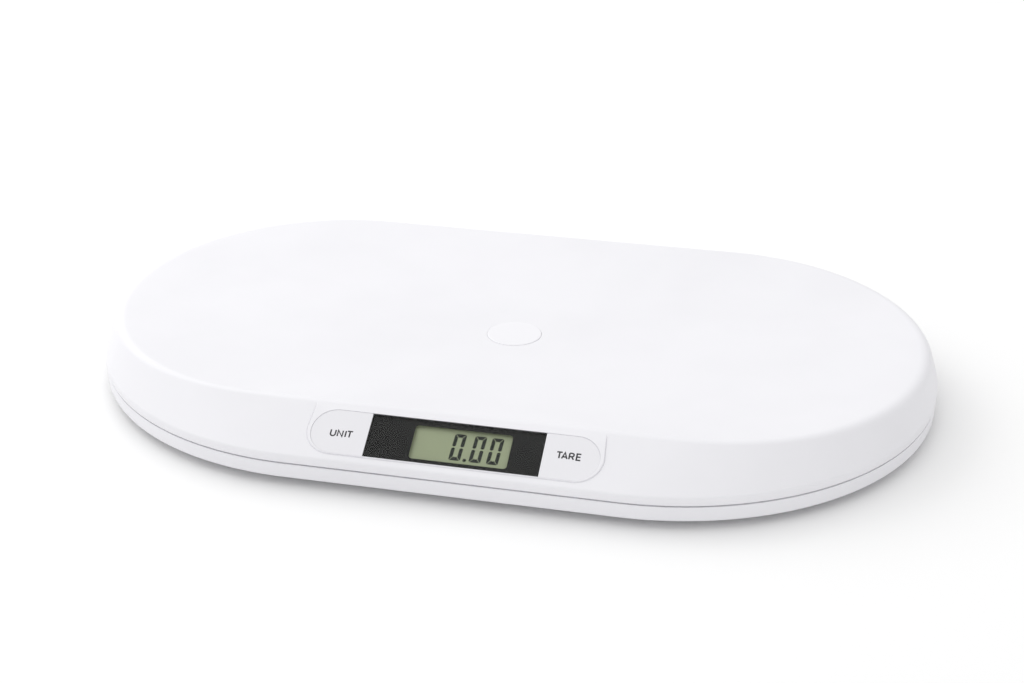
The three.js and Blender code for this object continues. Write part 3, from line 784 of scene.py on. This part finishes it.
def outer_patch(shell, rings, columns, patch_top, patch_bottom):
    """The strip's stretch of tray edge, rim and skirt, with the raised pad and the opening.

    Returns the opening's loop as (index, u, v)."""
    points, edges, owners = [], [], []

    def put(u, v, owner=None):
        points.append((u, v))
        owners.append(owner)
        return len(points) - 1

    profile = []
    last = None
    for k in range(patch_top, patch_bottom + 1):
        row = []
        for i in columns:
            local = TO_STRIP @ rings[k][i]
            shared = k in (patch_top, patch_bottom) or i in (columns[0], columns[-1])
            row.append(put(local.x, local.y, k * COUNT + i if shared else None))
        profile.append((local.y, local.z))
        edges += polyline_edges(row[0], len(row))
        if last:
            edges += [(last[0], row[0]), (last[-1], row[-1])]
        last = row
    profile.sort()
    heights_v = [p[0] for p in profile]
    heights_w = [p[1] for p in profile]

    def height(u, v):
        base = float(np.interp(v, heights_v, heights_w))
        on_pad = eased((PAD_EDGE[1] - pad_distance(u, v)) / (PAD_EDGE[1] - PAD_EDGE[0]))
        fade = eased((PAD_FADE[1] - v) / (PAD_FADE[1] - PAD_FADE[0]))
        deep, middle, wide = PAD_GROOVE
        groove = deep * math.exp(-(((pad_distance(u, v) - middle) / wide) ** 2))
        return base + ((PAD_TOP + STRIP_RISE) * on_pad - groove) * fade

    for offset in PAD_LINES:
        line = [put(u, v) for u, v in pad_line(offset, PAD_LINES_TOP)]
        edges += polyline_edges(line[0], len(line))
    pill = pill_outline(STRIP_GAP)
    border = [put(u, v) for u, v in pill]
    edges += polyline_edges(border[0], len(border), True)

    made, triangles, origins = triangulate(points, edges)
    kept = clear_of(pill, made, triangles)
    index = []
    for p, origin in zip(made, origins):
        owned = [owners[o] for o in origin if owners[o] is not None]
        if owned:
            index.append(owned[0])
        else:
            index.append(len(shell.points))
            shell.points.append(STRIP @ Vector((p.x, p.y, height(p.x, p.y))))
    shell.faces += [tuple(index[i] for i in t) for t in kept]
    within = [abs(p.x) < PAD_HALF and abs(p.y) < STRIP_HALF_HEIGHT + 1 for p in made]
    loop = boundary_loop(kept, lambda i: within[i])
    return [(index[i], made[i].x, made[i].y) for i in loop]


def inner_patch(shell, rings, columns, inner_bottom, opening):
    """The skirt's inner face behind the strip, with the same opening and the wall to it."""
    points, edges, owners = [], [], []
    for k in (inner_bottom, inner_bottom + 1):
        for i in columns:
            local = TO_STRIP @ rings[k][i]
            points.append((local.x, local.y))
            owners.append(k * COUNT + i)
    n = len(columns)
    low = TO_STRIP @ rings[inner_bottom][columns[0]]
    high = TO_STRIP @ rings[inner_bottom + 1][columns[0]]
    edges += polyline_edges(0, n) + polyline_edges(n, n) + [(0, n), (n - 1, 2 * n - 1)]
    start = len(points)
    wall = []
    pill = [(u, v) for _, u, v in opening]
    for u, v in pill:
        share = (v - low.y) / (high.y - low.y)
        wall.append(len(shell.points))
        shell.points.append(STRIP @ Vector((u, v, low.z + share * (high.z - low.z))))
        points.append((u, v))
        owners.append(wall[-1])
    edges += polyline_edges(start, len(opening), True)
    made, triangles, origins = triangulate(points, edges)
    for t in clear_of(pill, made, triangles):
        shell.faces.append(tuple(owners[origins[i][0]] for i in t))
    for i, (outer, _, _) in enumerate(opening):
        j = (i + 1) % len(opening)
        shell.faces.append((outer, opening[j][0], wall[j], wall[i]))


def tube_wall(radii, bottom, top, x, y, steps=32):
    """A hollow post: outside wall, foot, bore and the bore's end."""
    outer, inner = radii
    profile = (
        (outer, top),
        (outer, bottom + 0.3),
        (outer - 0.3, bottom),
        (inner + 0.2, bottom),
        (inner, bottom + 0.2),
        (inner, top - 1.2),
    )
    return stacked([circle(x, y, radius, z, steps) for radius, z in profile])


# ================ base shell ================
def base_shell():
    """The base's oval body, then its holes, bosses and bay cut and joined by boolean modifiers."""
    rings = [
        oval_ring(inset(EDGE, 5), FLOOR_TOP),
        oval_ring(inset(EDGE, 5), TONGUE_TOP - 0.3),
        oval_ring(inset(EDGE, 4.7), TONGUE_TOP),
        oval_ring(inset(EDGE, 3.5), TONGUE_TOP),
        oval_ring(inset(EDGE, 3.1), TONGUE_TOP - 0.5),
        oval_ring(inset(EDGE, 3.1), BASE_WALL_TOP),
        oval_ring(inset(EDGE, 1.0), BASE_WALL_TOP),
        oval_ring(inset(EDGE, 0.5), BASE_WALL_TOP - 0.12),
        oval_ring(inset(EDGE, 0.35), BASE_WALL_TOP - 0.45),
        oval_ring(inset(EDGE, 0.5), BASE_BOTTOM + 1.5),
    ]
    top = Vector((0, 0.5, 1.5))
    corner = Vector((0, 0.6, 0))
    end = Vector((0, 2.1, 0))
    for i in range(1, 9):
        p = bezier(top, corner, end, i / 8)
        rings.append(oval_ring(inset(EDGE, p.y), BASE_BOTTOM + p.z))
    shell = Solid()
    shell.add(*stacked(rings))
    made = piece(
        "base_shell_moulding", shell.points, shell.faces, WHITE,
        "chassis", ("base_shell",),
    )
    added, cut = Solid(), Solid()
    added.add(*slab(rounded_box(*BAY_PLATE, 3), 7.4, 12))
    added.add(*slab(rounded_box(*BAY_BOX, 1.5), 11, 22))
    for x, y in SHELL_SCREWS:
        added.add(*turned([(0, 7.4), (4.6, 7.4), (4.6, 13.5), (0, 13.5)], 32, x, y))
        cut.add(*turned([(0, 5), (4.1, 5), (4.1, 6), (3.5, 6.6), (3.5, 9.7), (0, 9.7)], 32, x, y))
        cut.add(*turned([(0, 9), (1.8, 9), (1.8, 15), (0, 15)], 24, x, y))
    cut.add(*slab(rounded_box(-BAY[0], BAY[0], -BAY[1], BAY[1], 1), 5, BAY[2]))
    seat = []
    for gap, z in ((0.9, 5), (0.9, 6), (0.4, 6.5), (0.4, 8.1)):
        x, y = DOOR[0] + gap, DOOR[1] + gap
        seat.append(lifted(rounded_box(-x, x, -y, y, 1.2 + gap), z))
    cut.add(*stacked(seat))
    cut.add(*slab(rounded_box(DOOR[0] - 1, 33, -GRIP["half"], GRIP["half"], 2.5), 5, 7.2))
    for y in DOOR_TABS:
        cut.add(*slab(rounded_box(-32, -26, y - 3.4, y + 3.4, 0.4), 6.7, 9))
    for x, y in FEET.values():
        well = [(0, 5), (FOOT_WELL + 0.7, 5), (FOOT_WELL + 0.7, 6), (FOOT_WELL + 0.2, 6.2)]
        well += [(FOOT_WELL, 6.7), (FOOT_WELL, 9), (0, 9)]
        cut.add(*turned(well, ROUND_STEPS, x, y))
    carve(made, added, "UNION")
    carve(made, cut, "DIFFERENCE")
    walls = Solid()
    for x, y in FEET.values():
        walls.add(*looped([circle(x, y, radius, z, ROUND_STEPS) for radius, z in FOOT_WALL]))
    piece("base_foot_rings", walls.points, walls.faces, WHITE, "chassis")


def carve(target, tool, operation):
    """Applies one boolean with a throwaway mesh."""
    mesh = bpy.data.meshes.new("tool")
    mesh.from_pydata([Vector(p) * MM for p in tool.points], [], tool.faces)
    shape = bmesh.new()
    shape.from_mesh(mesh)
    bmesh.ops.recalc_face_normals(shape, faces=shape.faces)
    shape.to_mesh(mesh)
    shape.free()
    helper = bpy.data.objects.new("tool", mesh)
    bpy.context.scene.collection.objects.link(helper)
    modifier = target.modifiers.new("carve", "BOOLEAN")
    modifier.object = helper
    modifier.operation = operation
    modifier.solver = "EXACT"
    modifier.use_self = True
    shading = target.modifiers.get("even_shading")
    if shading:
        target.modifiers.remove(shading)
    bpy.context.view_layer.update()
    depsgraph = bpy.context.evaluated_depsgraph_get()
    result = bpy.data.meshes.new_from_object(target.evaluated_get(depsgraph))
    target.modifiers.clear()
    target.data = result
    smooth(result, 30)
    even_shading(target)
    bpy.data.objects.remove(helper)


# ================ centre cap, feet, door ================
def centre_cap():
    """The disc in the tray's middle, with a soft edge and a stem that clips into the shell."""
    profile = [(0, CAP_STEM_FOOT), (CAP_STEM - 0.3, CAP_STEM_FOOT), (CAP_STEM, CAP_STEM_FOOT + 0.3)]
    profile += [(CAP_STEM, CAP_UNDER), (CAP_EDGE - 0.2, CAP_UNDER), (CAP_EDGE, CAP_UNDER + 0.15)]
    wide, deep = 0.9, 0.43
    for i in range(7):
        angle = math.pi / 2 * i / 6
        radius = CAP_EDGE - wide + wide * math.cos(angle)
        profile.append((radius, CAP_TOP - 0.47 + deep * math.sin(angle)))
    profile += [(CAP_EDGE - 2, CAP_TOP - 0.03), (8, CAP_TOP), (0, CAP_TOP)]
    points, faces = turned(profile, 128)
    piece(
        "centre_cap_disc", points, faces, DISC_AND_HIGHLIGHT_WHITE,
        "chassis", ("centre_cap",), 50,
    )


def foot(name, x, y):
    """A rubber pad and the cup that holds it."""
    pad = [(0, 0), (15.9, 0), (16.6, 0.1), (17.2, 0.5), (17.4, 0.9), (17.4, 1.7), (0, 1.7)]
    points, faces = turned(pad, 72, x, y)
    node = f"foot_pad_{name}"
    piece(f"{node}_rubber", points, faces, RUBBER, "chassis", (node,))
    cap = [(0, 2), (19.2, 2), (19.7, 2.1), (20.0, 2.4), (20.1, 2.8), (20.1, 8.7), (22.2, 8.7)]
    cap += [(22.2, 9.9), (18.2, 9.9), (18.2, 4.4), (5, 4.4), (5, 10.9), (0, 10.9)]
    points, faces = turned(cap, 72, x, y)
    node = f"foot_cap_{name}"
    piece(f"{node}_cup", points, faces, WHITE, "chassis", (node,))


def battery_door():
    """The door: a panel with eased outer edges, two hooking tabs and four grip grooves."""
    x, y = DOOR
    shapes = []
    for g, z in ((0.5, 6), (0.12, 6.15), (0, 6.5), (0, 7.8)):
        shapes.append(lifted(rounded_box(-x + g, x - g, -y + g, y - g, DOOR_CORNER - g), z))
    points, faces = stacked(shapes)
    made = piece(
        "battery_door_panel", points, faces, WHITE,
        "battery_door", ("battery_door",),
    )
    tabs, grip = Solid(), Solid()
    for side in DOOR_TABS:
        tabs.add(*slab(rounded_box(-x - 2, -x + 2, side - 3, side + 3, 0.4), 7, 7.8))
    for i in range(GRIP["count"]):
        left = GRIP["start"] + GRIP["pitch"] * i
        groove = rounded_box(left, left + GRIP["width"], -GRIP["half"], GRIP["half"], 0.44)
        grip.add(*slab(groove, 5, 6.5))
    carve(made, tabs, "UNION")
    carve(made, grip, "DIFFERENCE")


# ================ strip pieces ================
def button_outline(side, grow, edge=0.5, steps=24):
    """A button's outline: nearly square towards the window, round at its outer end."""
    radius = STRIP_HALF_HEIGHT + grow
    x = STRIP_HALF - STRIP_HALF_HEIGHT
    towards_window = min(grow, 0.15) if grow > 0 else 1.5 * grow
    inner = WINDOW_HALF + STRIP_GAP + side * WINDOW_MIDDLE - towards_window
    outline = arc(inner + edge, -radius + edge, edge, 180, 270, 4)
    outline += arc(x, 0, radius, -90, 90, steps)
    outline += arc(inner + edge, radius - edge, edge, 90, 180, 4)
    if side < 0:
        outline = [(-u, v) for u, v in reversed(outline)]
    return outline


def stroke(points, width, low, high):
    """A flat raised stroke along a polyline, as a closed solid with mitred corners."""
    path = [Vector(p) for p in points]
    left, right = [], []
    for i, p in enumerate(path):
        before = (p - path[i - 1]).normalized() if i else None
        after = (path[i + 1] - p).normalized() if i + 1 < len(path) else None
        first = before or after
        second = after or before
        normal = Vector((-first.y - second.y, first.x + second.x)).normalized()
        reach = width / 2 / max(0.5, normal.dot(Vector((-first.y, first.x))))
        left.append(p + normal * reach)
        right.append(p - normal * reach)
    outline = [(p.x, p.y) for p in right + list(reversed(left))]
    return slab(outline, low, high)


def letter(name):
    """A letter's strokes in a cell one unit high."""
    if name == "U":
        return [[(0, 1)] + arc(0.36, 0.36, 0.36, 180, 360, 12) + [(0.72, 1)]]
    if name == "N":
        return [[(0, 0), (0, 1), (0.72, 0), (0.72, 1)]]
    if name == "I":
        return [[(0, 0), (0, 1)]]
    if name == "T":
        return [[(0, 1), (0.78, 1)], [(0.39, 0), (0.39, 1)]]
    if name == "A":
        return [[(0, 0), (0.38, 1), (0.76, 0)], [(0.13, 0.3), (0.63, 0.3)]]
    if name == "R":
        bowl = [(0, 1), (0.34, 1)] + arc(0.36, 0.73, 0.27, 90, -90, 10) + [(0, 0.46)]
        return [[(0, 0), (0, 1)], bowl, [(0.34, 0.46), (0.66, 0)]]
    return [[(0.58, 1), (0, 1), (0, 0), (0.6, 0)], [(0, 0.51), (0.54, 0.51)]]


def label(word, lefts, middle):
    """A word in raised ink on a button's face, its letters starting at the given places."""
    ink = Solid()
    for name, left in zip(word, lefts):
        for points in letter(name):
            path = [(left + x * LABEL_HEIGHT, middle + (y - 0.5) * LABEL_HEIGHT) for x, y in points]
            ink.add(*stroke(path, LABEL_STROKE, STRIP_TOP - 0.05, STRIP_TOP + 0.02), STRIP)
    return ink


def button(name, side):
    """A button's cap with a rounded edge, a flange under it, a boss for its stem, and its word."""
    spread, flange_top, foot_depth = BUTTON_FLANGE
    section = []
    for i in range(6):
        angle = math.pi / 2 * (1 - i / 5)
        reach, drop = math.cos(angle) - 1, math.sin(angle) - 1
        section.append(
            (BUTTON_ROUND * reach + STRIP_GAP - BUTTON_GAP, STRIP_TOP + 0.5 * BUTTON_ROUND * drop)
        )
    section += [(0, STRIP_TOP - flange_top), (spread, STRIP_TOP - flange_top)]
    section.append((spread, STRIP_TOP - foot_depth))
    cap = Solid()
    cap.add(*stacked([lifted(button_outline(side, grow), z) for grow, z in section]), STRIP)
    radius, depth = BUTTON_BOSS
    low, high = STRIP_TOP - depth, STRIP_TOP - flange_top
    boss = [(0, low), (radius, low), (radius, high), (0, high)]
    cap.add(*turned(boss, 40, side * BUTTON_MIDDLE, 0), STRIP)
    node = f"{name}_button"
    piece(f"{node}_cap", cap.points, cap.faces, WHITE_GLOSS, node, (node,), 50)
    ink = label(*LABELS[name])
    piece(f"{name}_label", ink.points, ink.faces, INK, node, (), 30, False)


def window_outline(grow, corner):
    w, h = WINDOW_HALF + grow, STRIP_HALF_HEIGHT + grow
    return rounded_box(WINDOW_MIDDLE - w, WINDOW_MIDDLE + w, -h, h, corner)


def window():
    """The clear lens, the black print behind it and round its edge, and a bright strip along its
    lower edge that is a painted highlight.
    """
    under = STRIP_TOP - WINDOW_THICK
    shoulder = STRIP_TOP - 0.3
    lens = Solid()
    edge = ((-0.5, STRIP_TOP), (-0.28, STRIP_TOP - 0.08), (-0.2, shoulder), (-0.2, under))
    shapes = [lifted(window_outline(grow, WINDOW_CORNER), z) for grow, z in edge]
    lens.add(*stacked(shapes), STRIP)
    piece(
        "window_lens_clear", lens.points, lens.faces, CLEAR,
        "chassis", ("window_lens",), 50,
    )

    (u, v), (w, h) = MASK_SHIFT, MASK_HALF
    front, back = under - 0.03, under - 0.15
    opening = rounded_box(u - w, u + w, v - h, v + h, 2.1)
    loops = [lifted(opening, back), lifted(opening, front)]
    for grow, z in ((-0.17, front), (-0.17, shoulder), (0, shoulder), (0, back)):
        loops.append(lifted(window_outline(grow, WINDOW_CORNER + grow), z))
    mask = Solid()
    mask.add(*looped(loops), STRIP)
    piece("window_mask_print", mask.points, mask.faces, BLACK, "chassis", (), 30)

    # a lighter white strip in the gap under the window's lower edge: a painted highlight
    low, high = -STRIP_HALF_HEIGHT - PAINTED_HIGHLIGHT_RIM[0], -STRIP_HALF_HEIGHT + PAINTED_HIGHLIGHT_RIM[1]
    section = [(low, -2.2), (high, -2.2), (high, -0.62), (low + 0.12, -0.16), (low, -0.14)]
    left, right = WINDOW_MIDDLE - WINDOW_HALF, WINDOW_MIDDLE + WINDOW_HALF + 0.1
    rim = Solid()
    rim.add(*stacked([[(end, v, z) for v, z in section] for end in (left, right)]), STRIP)
    piece(
        "window_painted_highlight_rim", rim.points, rim.faces, DISC_AND_HIGHLIGHT_WHITE, "chassis", (), 30
    )


def lcd_opening(grow):
    w, h = LCD_HALF[0] + grow, LCD_HALF[1] + grow
    u, v = OPENING_SHIFT
    return rounded_box(u - w, u + w, v - h, v + h, 1.6 + grow)


def lcd_holder():
    """The black frame behind the window: a plate with an opening and a box behind it."""
    w, h = HOLDER_FACE
    outer = rounded_box(WINDOW_MIDDLE - w, WINDOW_MIDDLE + w, -h, h, 0.6)
    w, h = HOLDER_BOX
    back = rounded_box(LCD_SHIFT - w, LCD_SHIFT + w, -h, h, 0.5)
    bore = [(1.5, HOLDER_FOOT), (1.5, -4.3), (1.2, -4.2), (1.1, -3.9), (1.1, -2.7)]
    loops = [lifted(lcd_opening(grow), z) for grow, z in bore + [(1.3, HOLDER_TOP)]]
    loops += [lifted(outer, HOLDER_TOP), lifted(outer, HOLDER_PLATE)]
    loops += [lifted(back, HOLDER_PLATE), lifted(back, HOLDER_FOOT)]
    holder = Solid()
    holder.add(*looped(loops), STRIP)
    piece(
        "lcd_holder_frame", holder.points, holder.faces, BLACK,
        "chassis", ("lcd_holder",), 30,
    )


def lcd():
    """The display's glass, and a reading of nought in seven-segment digits."""
    glass = Solid()
    for low, high, bottom, top in GLASS_LAYERS:
        outline = rounded_box(LCD_SHIFT - GLASS_HALF, LCD_SHIFT + GLASS_HALF, low, high, 0.3, 3)
        glass.add(*slab(outline, bottom, top), STRIP)
    piece(
        "lcd_panel_glass", glass.points, glass.faces, LCD_FACE,
        "chassis", ("lcd_glass",), 30,
    )
    digit_foot = DIGIT_MIDDLE - DIGIT_SIZE[1] / 2
    shapes = [arc(POINT_PLACE[0], digit_foot + POINT_PLACE[1], POINT_RADIUS, 0, 342, 19)]
    for left in DIGIT_LEFTS:
        shapes += zero_segments(left, digit_foot)
    digits = Solid()
    for shape in shapes:
        leaning = [(x + DIGIT_SLANT * (y - DIGIT_MIDDLE), y) for x, y in shape]
        digits.add(*slab(leaning, LCD_TOP - 0.04, LCD_TOP + 0.03), STRIP)
    piece("lcd_digits", digits.points, digits.faces, LCD_INK, "chassis", (), 30, False)


def zero_segments(x, y):
    """The six lit bars of a nought, with mitred ends and a hairline gap between them."""
    (width, height), bar = DIGIT_SIZE, DIGIT_BAR
    right, top, half_way = x + width, y + height, y + height / 2
    level = [
        (x + DIGIT_GAP + 0.5, top),
        (x + 0.9, top - 0.45),
        (x + bar + 0.45, top - bar - 0.35),
        (x + width / 2, top - bar - 0.05),
        (right - bar - 0.45, top - bar - 0.35),
        (right - 0.9, top - 0.45),
        (right - DIGIT_GAP - 0.5, top),
    ]
    upright = [
        (x + 0.25, top - 0.35),
        (x, top - 1.0),
        (x, half_way + 0.85),
        (x + bar / 2, half_way + 0.3),
        (x + bar, half_way + 0.85),
        (x + bar, top - bar - 0.4),
        (x + 0.62, top - 0.5),
    ]
    mirrored = [(x + right - u, v) for u, v in reversed(upright)]
    upper = [level, upright, mirrored]
    lower = [[(u, y + top - v) for u, v in reversed(shape)] for shape in upper]
    return [list(reversed(shape)) for shape in upper + lower]


# ================ make the pieces ================
top_shell()
base_shell()
centre_cap()
for foot_name, (foot_x, foot_y) in FEET.items():
    foot(foot_name, foot_x, foot_y)
battery_door()
for button_name, button_side in (("unit", -1), ("tare", 1)):
    button(button_name, button_side)
window()
lcd_holder()
lcd()


# ================ floor, light and camera ================
def studio():
    """A pale floor, a sky that brightens upwards and to the left, and one large soft lamp."""
    material, tree, shader = new_material("pale_floor", (0.93, 0.93, 0.93), 0.9)
    vary_colour(tree, shader, noise(tree, 3, 2), (0.925, 0.925, 0.925), (0.935, 0.935, 0.935))
    shader.inputs["Specular IOR Level"].default_value = 0.1
    mesh = bpy.data.meshes.new("floor")
    half = FLOOR_HALF
    corners = [(-half, -half, 0), (half, -half, 0), (half, half, 0), (-half, half, 0)]
    mesh.from_pydata(corners, [], [(0, 1, 2, 3)])
    mesh.materials.append(material)
    floor = bpy.data.objects.new("floor", mesh)
    bpy.context.scene.collection.objects.link(floor)

    world = bpy.data.worlds.new("studio")
    bpy.context.scene.world = world
    world.use_nodes = True
    nodes, links = world.node_tree.nodes, world.node_tree.links
    place = nodes.new("ShaderNodeTexCoord")
    aim = nodes.new("ShaderNodeVectorMath")
    aim.operation = "DOT_PRODUCT"
    aim.inputs[1].default_value = Vector(SKY_AIM).normalized()
    spread = nodes.new("ShaderNodeMapRange")
    spread.inputs["From Min"].default_value = -1
    spread.inputs["To Min"].default_value, spread.inputs["To Max"].default_value = SKY_STRENGTH
    links.new(place.outputs["Generated"], aim.inputs[0])
    links.new(aim.outputs["Value"], spread.inputs["Value"])
    links.new(spread.outputs["Result"], nodes["Background"].inputs["Strength"])
    nodes["Background"].inputs["Color"].default_value = (1, 1, 1, 1)

    lamp = bpy.data.lights.new("key", "AREA")
    lamp.shape = "RECTANGLE"
    lamp.size, lamp.size_y = KEY_SIZE
    lamp.energy = KEY_POWER
    key = bpy.data.objects.new("key", lamp)
    key.location = KEY_PLACE
    key.rotation_euler = (-key.location).to_track_quat("-Z", "Y").to_euler()
    bpy.context.scene.collection.objects.link(key)


def camera():
    """The viewpoint: a little to the right and well above, with a short telephoto lens."""
    azimuth, elevation = math.radians(CAMERA_AZIMUTH), math.radians(CAMERA_ELEVATION)
    flat = math.cos(elevation)
    back = Vector((math.sin(azimuth) * flat, -math.cos(azimuth) * flat, math.sin(elevation)))
    lens = bpy.data.cameras.new("camera")
    lens.sensor_width = 36
    lens.lens = CAMERA_LENS
    lens.shift_x, lens.shift_y = CAMERA_SHIFT
    lens.clip_start = 0.05
    lens.clip_end = 50
    view = bpy.data.objects.new("camera", lens)
    view.location = Vector(CAMERA_TARGET) + back * CAMERA_DISTANCE
    view.rotation_mode = "QUATERNION"
    view.rotation_quaternion = (-back).to_track_quat("-Z", "Y")
    bpy.context.scene.collection.objects.link(view)
    bpy.context.scene.camera = view
    bpy.context.scene.view_settings.view_transform = "Standard"


studio()
camera()
